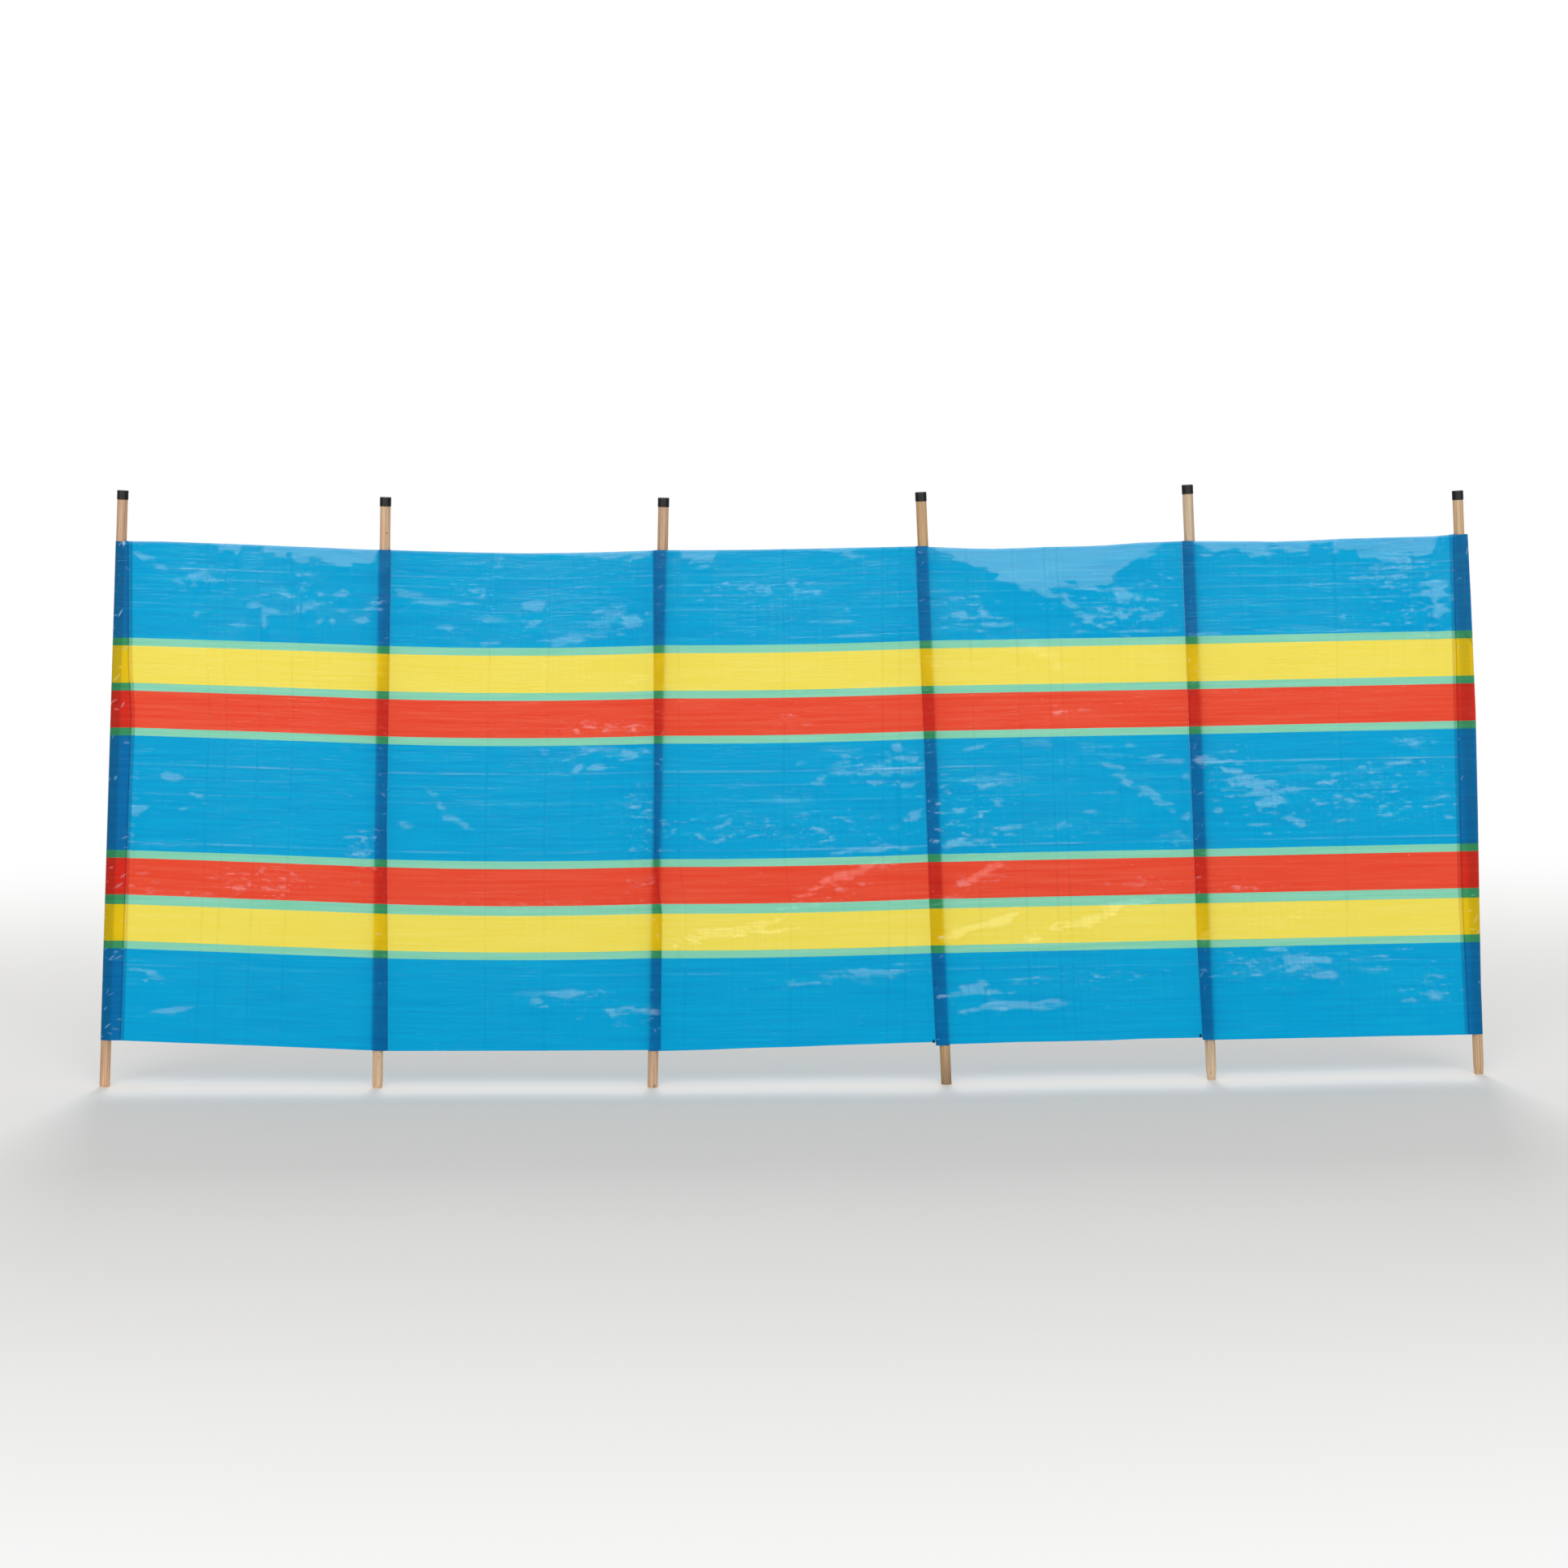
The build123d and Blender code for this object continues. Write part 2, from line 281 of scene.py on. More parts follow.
# Clear dents are ellipses: right, down, half length, half height, and degrees of rise to the right.
clear_dents = [
    [(34, 35, 24, 6, -20), (76, 60, 17, 5, -10), (134, 62, 18, 5, 0), (179, 77, 32, 13, -5),
     (151, 92, 13, 4, 90), (180, 90, 14, 4, 90), (122, 98, 12, 3, 0), (401, 66, 8, 7, 0),
     (425, 65, 13, 4, 0), (413, 99, 16, 5, 80), (456, 108, 7, 4, 0), (425, 141, 28, 8, 15),
     (290, 143, 17, 13, 10), (335, 156, 22, 7, -5), (319, 174, 16, 7, 90), (156, 167, 9, 6, 0),
     (257, 188, 20, 3, 0), (515, 145, 18, 6, 5), (458, 168, 11, 7, 60), (487, 167, 11, 6, 70),
     (562, 168, 25, 9, 15), (581, 138, 20, 10, 20), (94, 553, 26, 12, -25), (153, 596, 16, 8, -15),
     (181, 620, 10, 3, -60), (134, 632, 14, 4, 25), (565, 728, 26, 6, 5), (72, 1034, 44, 13, -5),
     (115, 1122, 62, 10, 6), (24, 640, 12, 40, 90)],
    [(56, 104, 38, 8, -12), (177, 27, 33, 3, 0), (251, 26, 16, 6, 80), (94, 121, 30, 6, 0),
     (173, 120, 26, 4, 0), (339, 128, 34, 11, -5), (345, 171, 36, 9, 0), (139, 181, 36, 9, 5),
     (231, 161, 30, 7, 0), (484, 148, 14, 7, 30), (577, 167, 27, 14, 20), (228, 216, 26, 6, 0),
     (415, 212, 46, 9, 0), (98, 570, 22, 7, -25), (129, 607, 17, 7, -50), (171, 643, 32, 9, -25),
     (49, 655, 24, 9, -15), (367, 481, 12, 7, 0), (453, 514, 17, 8, 50), (498, 515, 16, 7, 0),
     (573, 1110, 70, 12, 3), (430, 1062, 70, 9, 8), (612, 1112, 22, 3, 20)],
    [(444, 176, 78, 4, 0), (462, 209, 78, 3, 0), (388, 111, 5, 4, 0), (458, 147, 6, 4, 30),
     (146, 201, 8, 3, 0), (340, 515, 18, 7, 25), (398, 552, 18, 11, 10), (580, 482, 16, 9, -35),
     (606, 505, 26, 10, 0), (551, 535, 84, 13, 0), (535, 563, 26, 18, 0), (606, 573, 38, 8, 12),
     (612, 645, 32, 10, 20), (573, 670, 14, 4, 15), (130, 920, 120, 14, 7), (240, 893, 80, 8, 10),
     (400, 800, 70, 12, 28), (480, 775, 50, 9, 25), (155, 660, 14, 4, 15), (107, 679, 15, 7, -15),
     (186, 680, 11, 4, 0), (245, 680, 10, 3, 0), (535, 718, 100, 8, 2), (500, 1018, 110, 10, 3),
     (340, 1040, 70, 5, 3)],
    [(268, 109, 22, 4, -10), (310, 116, 44, 13, -20), (358, 134, 36, 16, -45), (404, 177, 34, 13, -37),
     (449, 111, 54, 8, 0), (503, 128, 26, 11, 0), (554, 178, 25, 8, 0), (610, 213, 28, 9, 5),
     (500, 212, 85, 3, 0),
     (88, 143, 14, 9, 20), (102, 168, 22, 9, 10), (154, 167, 18, 7, 10), (176, 190, 56, 7, 5),
     (143, 206, 15, 6, 0), (130, 483, 24, 7, 10), (493, 486, 14, 5, -10), (560, 517, 56, 9, -8),
     (478, 566, 38, 14, -45), (545, 614, 78, 15, -33), (627, 655, 18, 18, 45), (630, 556, 14, 6, 30),
     (440, 597, 40, 3, 0), (395, 643, 12, 5, 0), (193, 684, 42, 11, 15), (60, 715, 30, 10, 5),
     (124, 706, 32, 6, 8), (89, 1073, 70, 18, 5), (200, 1043, 60, 3, 0), (173, 1110, 120, 12, 2),
     (131, 908, 100, 13, 18), (373, 903, 130, 15, 17), (114, 795, 66, 9, 28)],
    [(534, 74, 92, 4, 0), (536, 93, 90, 6, 0), (580, 117, 50, 3, 0), (609, 179, 30, 14, 20),
     (606, 120, 30, 22, 60), (480, 40, 60, 5, 0), (560, 56, 80, 5, 0), (500, 118, 60, 4, 0),
     (387, 185, 7, 5, 60), (387, 220, 87, 3, 0), (75, 221, 60, 3, 0), (48, 527, 44, 10, -15),
     (110, 556, 50, 14, -25), (150, 583, 62, 20, -12), (185, 620, 44, 26, -35), (62, 640, 14, 13, -30),
     (84, 676, 14, 6, -25), (160, 680, 32, 3, 0), (252, 676, 22, 10, -30), (265, 596, 30, 6, 0),
     (355, 679, 34, 4, 5), (507, 676, 42, 4, 3), (389, 627, 26, 8, -20), (487, 540, 14, 7, 20),
     (541, 490, 24, 8, 0), (625, 673, 14, 5, -20), (484, 989, 50, 3, 0), (558, 1054, 28, 3, 0),
     (568, 1105, 50, 9, 5), (255, 1008, 70, 16, 0), (305, 1046, 34, 16, 0), (190, 985, 60, 8, 0)]]
# Faint dents lean back half as much, over wider patches.
faint_dents = [
    [(408, 24, 25, 16, 0), (85, 720, 80, 8, 0), (412, 602, 15, 3, 0), (90, 596, 38, 3, 0),
     (30, 494, 22, 5, 0), (74, 1001, 68, 4, 0), (25, 1051, 19, 6, 0), (110, 1125, 73, 10, 3)],
    [(507, 176, 60, 30, 20), (593, 309, 37, 13, 10), (524, 475, 80, 11, 0), (587, 596, 20, 10, 30),
     (415, 1062, 98, 13, 3), (300, 600, 190, 4, 0)],
    [(443, 483, 38, 12, 0), (445, 526, 18, 17, 0), (225, 562, 40, 5, 0), (312, 599, 55, 8, 0),
     (354, 636, 16, 5, 10), (95, 596, 72, 6, 0), (490, 1024, 127, 16, 2)],
    [(460, 166, 64, 14, 0), (277, 477, 30, 10, 0), (411, 499, 36, 20, 0), (323, 680, 40, 8, 0),
     (605, 716, 36, 12, 0), (305, 272, 44, 16, -36), (170, 560, 90, 12, 0)],
    [(122, 151, 62, 3, 0), (216, 175, 78, 3, 0), (269, 213, 48, 3, 0), (293, 551, 52, 15, 0),
     (410, 558, 55, 5, 0), (460, 592, 95, 4, 0), (611, 622, 20, 8, 15), (240, 1036, 190, 30, 3),
     (150, 925, 150, 14, 10)]]
# Crumpled places are ellipses too, full of fine crossing wrinkles.
crumpled_places = [
    [(185, 80, 60, 26, 0), (500, 108, 110, 18, 0), (250, 838, 180, 9, 0), (330, 800, 110, 30, 0),
     (560, 700, 35, 60, 0), (8, 640, 14, 100, 0), (60, 1035, 60, 24, 0), (20, 800, 60, 30, 0)],
    [(194, 87, 42, 22, 0), (577, 167, 40, 26, 0), (507, 418, 114, 16, 0), (606, 800, 34, 26, 0),
     (330, 839, 180, 6, 0), (524, 478, 90, 24, 0), (605, 670, 30, 90, 0), (440, 1062, 90, 18, 8),
     (560, 1110, 80, 20, 0)],
    [(190, 90, 140, 22, 0), (328, 413, 35, 13, 0), (534, 378, 24, 9, 0), (420, 815, 130, 26, 20),
     (310, 665, 240, 40, 0), (560, 540, 110, 40, 0), (440, 1028, 170, 20, 3)],
    [(125, 160, 70, 40, 0), (338, 398, 36, 18, 0), (105, 602, 80, 42, 0), (83, 668, 60, 24, 0),
     (323, 680, 60, 14, 0), (605, 716, 44, 16, 0), (528, 820, 110, 14, 0), (100, 810, 90, 26, 25),
     (470, 150, 150, 52, 0), (330, 1045, 140, 18, 2), (90, 660, 80, 90, 0)],
    [(541, 490, 60, 18, 0), (100, 832, 95, 11, 0), (160, 590, 120, 60, -25), (450, 600, 160, 60, 0),
     (590, 1080, 60, 40, 0), (560, 125, 90, 95, 0), (600, 180, 40, 60, 0),
     (230, 1012, 150, 44, 0)]]
# Folds from packing: the upright ones per bay, and level ones along the whole cloth; each level one has
# a painted highlight line with a painted shade line just under it, and the upright ones carry painted shade.
upright_folds = [[185, 226, 304, 388], [235, 376], [58, 311, 545, 586], [123, 236, 312, 342], [372]]
level_folds = [(60, 0.5), (83, 0.5), (108, 0.5), (141, 0.4), (527, 1.0), (560, 0.25), (598, 0.25), (716, 0.7),
               (1014, 0.4)]
steepness_needed = (5.2, 9.1)
steepness_over = 2.0
edge_softness_mm = 4.0
dent_fall_mm = 70.0


def smooth_noise(across, down, grain_across, grain_down, seed):
    """Noise from nought to one: three turned lattices of random values, each twice as fine and half
    as strong as the last, joined along the curve 3 f² - 2 f³ and stretched to fill the range."""
    total = 0
    for octave in range(3):
        turn = 0.4 + 1.1 * octave
        wide, tall = across / grain_across, down / grain_down
        east = 2 ** octave * (wide * math.cos(turn) - tall * math.sin(turn))
        south = 2 ** octave * (wide * math.sin(turn) + tall * math.cos(turn))
        east, south = east - east.min(), south - south.min()
        lattice_size = (int(south.max()) + 2, int(east.max()) + 2)
        lattice = np.random.default_rng(seed + 100 * octave).random(lattice_size)
        column, row = east.astype(int), south.astype(int)
        ease_east, ease_south = [part ** 2 * (3 - 2 * part) for part in (east - column, south - row)]
        upper = lattice[row, column] * (1 - ease_east) + lattice[row, column + 1] * ease_east
        lower = lattice[row + 1, column] * (1 - ease_east) + lattice[row + 1, column + 1] * ease_east
        total = total + (upper * (1 - ease_south) + lower * ease_south) / 2 ** octave
    return np.clip(0.5 + 1.5 * (total / 1.75 - 0.5), 0, 1)


def inside_ellipse(across, down, ellipse, ragged, softness):
    """One inside a slanted ellipse and nought outside, with a soft edge that the ragged noise moves."""
    right, below, half_length, half_height = ellipse[:4]
    rise = math.radians(ellipse[4])
    off_right, off_below = across - right, down - below
    lengthwise = (off_right * math.cos(rise) - off_below * math.sin(rise)) / half_length
    crosswise = (off_right * math.sin(rise) + off_below * math.cos(rise)) / half_height
    inside = 0.9 - np.hypot(lengthwise, crosswise) + ragged
    return np.clip(0.5 + inside * half_height / softness, 0, 1)


def wrinkles(across, down, seed):
    """Short flat specks, with thin curling lines between them where a noise passes its middle value."""
    specks = (smooth_noise(across, down, 22, 6, seed) - 0.66) / 0.1
    lines = 0.8 - np.abs(smooth_noise(across, down, 36, 14, seed + 1) - 0.5) / 0.035
    return np.clip(np.maximum(specks, lines), 0, 1)


def scratches(across, down, reach, count, seed):
    """Whitened marks: short slanted strokes, strewn at random over the cloth from nought to the reach."""
    chance = np.random.default_rng(seed)
    mark = np.zeros_like(down)
    for _ in range(count):
        stroke = (chance.uniform(0, reach), chance.uniform(0, down.max()),
                  chance.uniform(3, 12), 2, chance.uniform(-20, 75))
        mark = np.maximum(mark, chance.uniform(0.3, 1) * inside_ellipse(across, down, stroke, 0, 1.5))
    return mark


def bay_dents(bay, across, down, base_slope):
    """How far forward a bay's dents stand, in metres, its marks of painted highlight and shade along the
    upper edge and the folds, with faint whitening in crumpled places, and where it shines. Inside a dent the
    depth grows downwards at the slope that mirrors the sky, less what the cloth leans already; below it the
    depth dies away: depth' = slope - leak * depth, solved with an integrating factor."""
    ragged = 1.5 * (smooth_noise(across, down, 27, 10, 10 + bay) - 0.5)
    ragged += 1.1 * (smooth_noise(across, down, 80, 8, 20 + bay) - 0.5)
    border = np.interp(across, *zip(*leaning_tops[bay]))
    shine = np.clip(0.5 + (border + 20 * ragged - down) / edge_softness_mm, 0, 1) * np.clip(border / 4, 0, 1)
    for dent in clear_dents[bay]:
        shine = np.maximum(shine, inside_ellipse(across, down, dent, ragged, edge_softness_mm))
    for dent in faint_dents[bay]:
        shine = np.maximum(shine, 0.6 * inside_ellipse(across, down, dent, ragged, 3 * edge_softness_mm))
    wrinkled = wrinkles(across, down, 30 + 2 * bay)
    crumple = np.zeros_like(shine)
    for place in crumpled_places[bay]:
        crumple = np.maximum(crumple, inside_ellipse(across, down, place, ragged, 4 * edge_softness_mm))
    shine = np.maximum(shine, wrinkled * crumple)

    share_down = down / (1000 * cloth_height)
    needed = steepness_needed[0] + (steepness_needed[1] - steepness_needed[0]) * share_down
    slope = shine * (np.tan(np.radians(needed + steepness_over)) - base_slope)
    step = 1000 * row_step
    grown = np.exp(np.cumsum((1 - shine) / dent_fall_mm, axis=0) * step)
    depth = np.cumsum(grown * slope, axis=0) * step / grown
    depth += 1.6 * smooth_noise(across, down, 130, 75, 50 + bay)

    # Painted highlight along the upper edge, where it catches the sky; faint whitened crinkles in crumpled
    # places.
    creases = 0.08 * wrinkled * crumple + 0.4 * np.exp(-(down / 3) ** 2)
    # Painted highlight along each level fold, and painted shade 4 mm below it.
    for fold, strength in level_folds:
        strength = strength * smooth_noise(across, down, 110, 60, 60 + bay) ** 2 * 0.5
        creases += strength * np.exp(-((down - fold) / 1.8) ** 2)
        creases -= 1.2 * strength * np.exp(-((down - fold - 4) / 1.8) ** 2)
    for fold in upright_folds[bay]:
        ridge = np.exp(-((across - fold) / 2.6) ** 2)
        depth += 0.7 * ridge
        # Painted shade along each upright fold.
        creases -= 0.3 * ridge * smooth_noise(across, down, 300, 60, 70 + bay)
    return depth / 1000, creases, shine


# Bays
# The stretches of cloth between two seams: nearly straight along the ground, slack along the top,
# where each bows back and sags a little. They lie flat over the poles beside the seams.
low_bellies = np.array([5, 6, 6, 8, 8]) / 1000
high_bellies = np.array([40, 50, 45, 50, 30]) / 1000
sags = np.array([2, 8, 6, 3, 2]) / 1000
# How many mm each bay's upper and lower edges stand over smooth ones, by share of the way along.
top_rises_mm = [[(0, 5), (0.13, 7), (0.4, 6), (0.66, 4.3), (0.86, 2.7), (1, 2.5)],
                [(0, 3), (0.2, 2.5), (0.35, 1.5), (0.5, 0), (1, 0)],
                [(0, 0), (0.5, 1.8), (0.75, 1.5), (0.9, 0), (1, -1)],
                [(0, -1), (0.1, -4.2), (0.2, -7.4), (0.3, -9), (0.4, -8.3), (0.5, -6.4), (0.65, -6),
                 (0.72, -4.8), (0.85, 0), (1, 1.5)],
                [(0, 1.5), (0.12, 0), (0.25, -1.6), (0.35, -3.4), (0.45, -3.1), (0.6, 0),
                 (0.93, 0.5), (1, 3.5)]]
hem_rises_mm = [[(0, 0), (1, 0)],
                [(0, 0), (0.3, 1), (0.6, 2), (1, 2.4)],
                [(0, 0), (0.18, 1), (0.31, 3.3), (0.5, 4.5), (0.63, 6.4), (0.89, 8.6), (1, 9)],
                [(0, 3), (0.3, 4.5), (0.5, 3.5), (0.65, 3.3), (0.78, 5.6), (1, 5.5)],
                [(0, 0), (0.5, -1), (1, 0)]]
edge_reach = 0.08
# Dents die away this near a seam, and the painted shade over the pole is darkest this near its stitches.
dent_free_reach = 0.012
stitched_reach = 0.003
# On the flat cloth a bay and the sleeve to its left come round every 780 mm, 130 of it the sleeve.
repeat_mm = 780
bay_run_mm = 650
sleeve_run_mm = 130
usual_bay_width = 0.64
lap_margin = 0.002
turn_softness = 0.010
column_step = 0.0032


def soft_ramp(distance, softness):
    """Nought below nought and the distance above it, rounded off over the softness."""
    return (distance + np.sqrt(distance ** 2 + softness ** 2)) / 2


def edge_rise(rows, top_mm, hem_mm):
    """Height over smooth edges, in metres: the rises of the upper and the lower edge, each dying away
    into the cloth along a bell curve."""
    top = top_mm * np.exp(-((1 - rows) * cloth_height / edge_reach) ** 2)
    return (top + hem_mm * np.exp(-(rows * cloth_height / edge_reach) ** 2)) / 1000


def bay_points(bay, rows, columns):
    """Cloth of a bay, its marks of whitening, painted highlight and painted shade, and its mask of layers
    and painted pole shadow: ruled between its seams, flat where it laps a pole, bowed back between the laps
    by a parabola that grows with height, and dented; it sags by a parabola too, with edges that rise and
    fall."""
    rows = rows[:, None]
    left, right = seam_line(bay, rows[:, 0])[:, None], seam_line(bay + 1, rows[:, 0])[:, None]
    chord = right - left
    width = np.linalg.norm(chord[..., :2], axis=-1)
    heading = np.arctan2(chord[..., 1], chord[..., 0])
    rearward = np.stack([-np.sin(heading), np.cos(heading), np.zeros_like(heading)], axis=-1)
    gone = width * columns
    left_lap = np.maximum(sleeve_radius + lap_margin - seam_offset(bay, rows), lap_margin)
    right_lap = np.maximum(sleeve_radius + lap_margin + seam_offset(bay + 1, rows), lap_margin)
    from_left = soft_ramp(gone - left_lap, turn_softness)
    from_right = soft_ramp(width - right_lap - gone, turn_softness)
    share = from_left / (from_left + from_right)
    bow = 4 * share * (1 - share)
    belly = low_bellies[bay] + (high_bellies[bay] - low_bellies[bay]) * rows
    lap_bend = (np.tan(sleeve_turns[bay] - heading) * (gone - from_left) * (1 - share)
                - np.tan(sleeve_turns[bay + 1] - heading) * (width - gone - from_right) * share)

    base_slope = (high_bellies[bay] - low_bellies[bay]) * bow / cloth_height
    down_mm = 1000 * cloth_height * (1 - rows) + 0 * gone
    depth, creases, shine = bay_dents(bay, 1000 * gone[::-1], down_mm[::-1], base_slope[::-1])
    near_seam = np.clip(np.minimum(gone, width - gone) / dent_free_reach, 0, 1)
    rear = belly * bow + lap_bend - depth[::-1] * near_seam ** 2 * (3 - 2 * near_seam)
    points = left + chord * columns[None, :, None] + rear[..., None] * rearward
    points[..., 2] -= sags[bay] * bow * np.minimum(0.25 + 3 * rows, 1)
    points[..., 2] += edge_rise(rows, np.interp(columns, *zip(*top_rises_mm[bay])),
                                np.interp(columns, *zip(*hem_rises_mm[bay])))
    left_cover = pole_shade_radii[bay] - seam_offset(bay, rows)
    right_cover = pole_shade_radii[bay + 1] + seam_offset(bay + 1, rows)
    from_seam = np.where(gone < width / 2, gone, width - gone)
    cover = np.where(gone < width / 2, left_cover, right_cover)
    layers = np.clip((cover - from_seam) / lap_blur + 0.5, 0, 1) * np.clip(cover / 0.001, 0, 1)
    # Painted shade over the pole band: mottled, and darkest along the seam.
    pole_band_shade = (0.4 * smooth_noise(1000 * gone, down_mm, 18, 60, 90 + bay)
               + 0.4 * np.exp(-(from_seam / stitched_reach) ** 2))
    rubbed = scratches(1000 * from_seam, down_mm, 24, 34, 95 + bay)
    creases = np.maximum(creases[::-1], 0) * (1 - layers) + np.minimum(creases[::-1], 0)
    # Over the pole band: whitened scratches, and painted glints where the dents shine.
    scratches_and_painted_glints = np.maximum(0.5 * rubbed, 0.4 * shine[::-1])
    creases += (scratches_and_painted_glints - pole_band_shade * (1 - scratches_and_painted_glints)) * layers
    return points, creases, layers


bay_columns = np.linspace(0, 1, round(usual_bay_width / column_step) + 1)
for bay in range(bay_count):
    points, creases, layers = bay_points(bay, cloth_rows, bay_columns)
    piece = cloth_object(f"bay_cloth_{bay + 1}", points,
                         repeat_mm * bay + bay_run_mm * bay_columns[None, :],
                         1000 * cloth_height * cloth_rows, creases, layers)
    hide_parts(f"bay_{bay + 1}")


# Sleeves
# Loops of the same cloth round the poles. The inner ones are tucks behind the front, sewn at their
# neck; the end ones are the cloth's two ends folded back round the pole and sewn down, the right-hand
# one with some slack at its fold. Rubbing on the poles has scratched them white, and on the first sleeve
# many of the white marks stand in for glints as painted highlights. The end sleeves are darkened over
# their poles as a painted shadow of the pole through the cloth.
# White marks per sleeve: scratches, and on the first sleeve many of them stand in for glints as painted
# highlights.
scratch_and_glint_counts = [110, 40, 40, 40, 40, 36]
# How dark the painted shadow of the pole is on each end sleeve.
end_pole_shade = [0.75, 0, 0, 0, 0, 0.45]
hem_width = 0.008
hem_gap = 0.0007
# Single marks of the end sleeves: mm from the seam and down, half length, half height, degrees of rise,
# and from -1, a dark one, to 1, a white one.
# The first sleeve's white spot at its top is a painted highlight on its fold.
sleeve_marks = {0: [(22, 4, 9, 7, 0, 1), (30, 166, 15, 3, -50, 0.8)], 5: [(37, 250, 26, 2, -60, -1.6)]}
sleeve_rises_mm = [5, 3, 0, -1, 1.5, 3.5]
fold_slack_mm = [[(0, 0), (1, 0)], [(0.1, 0), (0.32, 5), (0.45, 8), (0.65, 11.5), (0.88, 9.7), (1, 7.5)]]
straight_steps = 16
arc_steps = 28


def tucked_loop(pole, rows):
    """A tuck's section: from the seam straight to where it touches the circle round the pole, the
    long way round that circle, and straight back; the touching points lie at equal angles on either
    side of the direction of the seam."""
    sideways = seam_offset(pole, rows)
    forward = sleeve_radius + lap_depth
    toward = np.arctan2(-forward, sideways)
    spread = np.arccos(sleeve_radius / np.hypot(forward, sideways))
    turned = np.linspace(toward - spread, toward + spread - 2 * math.pi, arc_steps, axis=1)
    arc = sleeve_radius * np.stack([np.cos(turned), np.sin(turned)], axis=-1)
    seam = np.stack([sideways, np.full_like(sideways, -forward)], axis=-1)[:, None]
    share = np.linspace(0, 1, straight_steps, endpoint=False)[None, :, None]
    going = seam + (arc[:, :1] - seam) * share
    coming = arc[:, -1:] + (seam - arc[:, -1:]) * (1 - share[:, ::-1])
    coming = np.concatenate([coming[:, :-1], np.broadcast_to(seam, coming[:, :1].shape)], axis=1)
    return np.concatenate([going, arc, coming], axis=1)


def folded_end(pole, rows):
    """An end's section: the hem and the back layer, straight to the circle round the pole, round
    its outer side, and straight along the front to the seam. Slack pushes the fold outwards by a
    course of shares of the height and mm."""
    side = 1 if pole == 0 else -1
    sideways = side * seam_offset(pole, rows)
    behind = sleeve_radius - hem_gap
    toward = np.arctan2(-behind, sideways)
    spread = np.arccos(np.minimum(sleeve_radius / np.hypot(behind, sideways), 1))
    turned = np.linspace(toward + spread, np.full_like(toward, 1.5 * math.pi), arc_steps, axis=1)
    arc = sleeve_radius * np.stack([np.cos(turned), np.sin(turned)], axis=-1)
    slack = np.interp(rows, *zip(*fold_slack_mm[pole > 0])) / 1000
    arc[..., 0] -= slack[:, None] * np.clip(-np.cos(turned), 0, 1)
    hem = np.stack([sideways + hem_width, np.full_like(sideways, -behind)], axis=-1)[:, None]
    seam = np.stack([sideways, np.full_like(sideways, -sleeve_radius)], axis=-1)[:, None]
    share = np.linspace(0, 1, straight_steps, endpoint=False)[None, :, None]
    going = hem + (arc[:, :1] - hem) * share
    coming = arc[:, -1:] + (seam - arc[:, -1:]) * (1 / straight_steps + share)
    section = np.concatenate([going, arc, coming], axis=1)
    section[..., 0] *= side
    return section if side > 0 else section[:, ::-1]


for pole in range(pole_count):
    end = pole in (0, pole_count - 1)
    section = folded_end(pole, cloth_rows) if end else tucked_loop(pole, cloth_rows)
    turn = sleeve_turns[pole]
    points = (pole_axis(pole, cloth_rows)[:, None] + section[..., :1] * along(turn)
              + section[..., 1:] * back(turn))
    points[..., 2] += edge_rise(cloth_rows, sleeve_rises_mm[pole], 0)[:, None]
    gone_mm = 1000 * np.append(0, np.cumsum(np.linalg.norm(np.diff(points[0], axis=0), axis=-1)))
    down_mm = 1000 * cloth_height * (1 - cloth_rows[:, None]) + 0 * gone_mm
    creases = 0.6 * scratches(gone_mm + 0 * down_mm, down_mm, gone_mm[-1], scratch_and_glint_counts[pole], 84 + pole)
    if end:
        # Painted shadow of the pole, over the part of the end sleeve that lies in front of and behind it.
        pole_band_shade = np.clip((sleeve_radius - np.abs(section[..., 0])) / lap_blur + 0.5, 0, 1)
        creases = np.where(creases > 0.1, creases, -end_pole_shade[pole] * pole_band_shade)
        from_seam = gone_mm[-1] - gone_mm if pole == 0 else gone_mm
        for *mark, shade in sleeve_marks[pole]:
            shown = inside_ellipse(from_seam + 0 * down_mm, down_mm, mark, 0, 1.5)
            creases = creases * (1 - shown) + shade * shown
    piece = cloth_object(f"sleeve_cloth_{pole + 1}", points,
                         repeat_mm * pole - sleeve_run_mm + gone_mm[None, :],
                         1000 * cloth_height * cloth_rows, creases, np.ones_like(creases))
    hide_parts(f"sleeve_{pole + 1}")


# Stitches
# Black polyester thread, one running stitch every 4.2 mm down each seam: on the front and the back of
# the end seams, and behind the neck of the inner tucks, with a knot at two lower ends.
stitch_pitch = 0.0042
stitch_length = 0.003
thread_thickness = 0.0006
end_inset = 0.002
neck_depth = 0.0028
knot_poles = (3, 4)
knot_width = 0.005
knot_thickness = 0.0016


def thread_material():
    """Spun thread: near black, a little mottled, matt."""
    material, tree, output = new_material("spun_black_polyester_thread")
    place = add_node(tree, "ShaderNodeTexCoord").outputs["Object"]
    fuzz = add_node(tree, "ShaderNodeTexNoise", {"Vector": place, "Scale": 1500, "Detail": 2})
    ramp = add_node(tree, "ShaderNodeValToRGB", {"Fac": fuzz.outputs["Fac"]})
    ramp.color_ramp.elements[0].color = linear("#101820")
    ramp.color_ramp.elements[1].color = linear("#2A3440")
    thread = add_node(tree, "ShaderNodeBsdfPrincipled", {
        "Base Color": ramp.outputs["Color"], "Roughness": 0.8, "Specular IOR Level": 0})
    tree.links.new(thread.outputs[0], output.inputs["Surface"])
    return material


black_thread = thread_material()


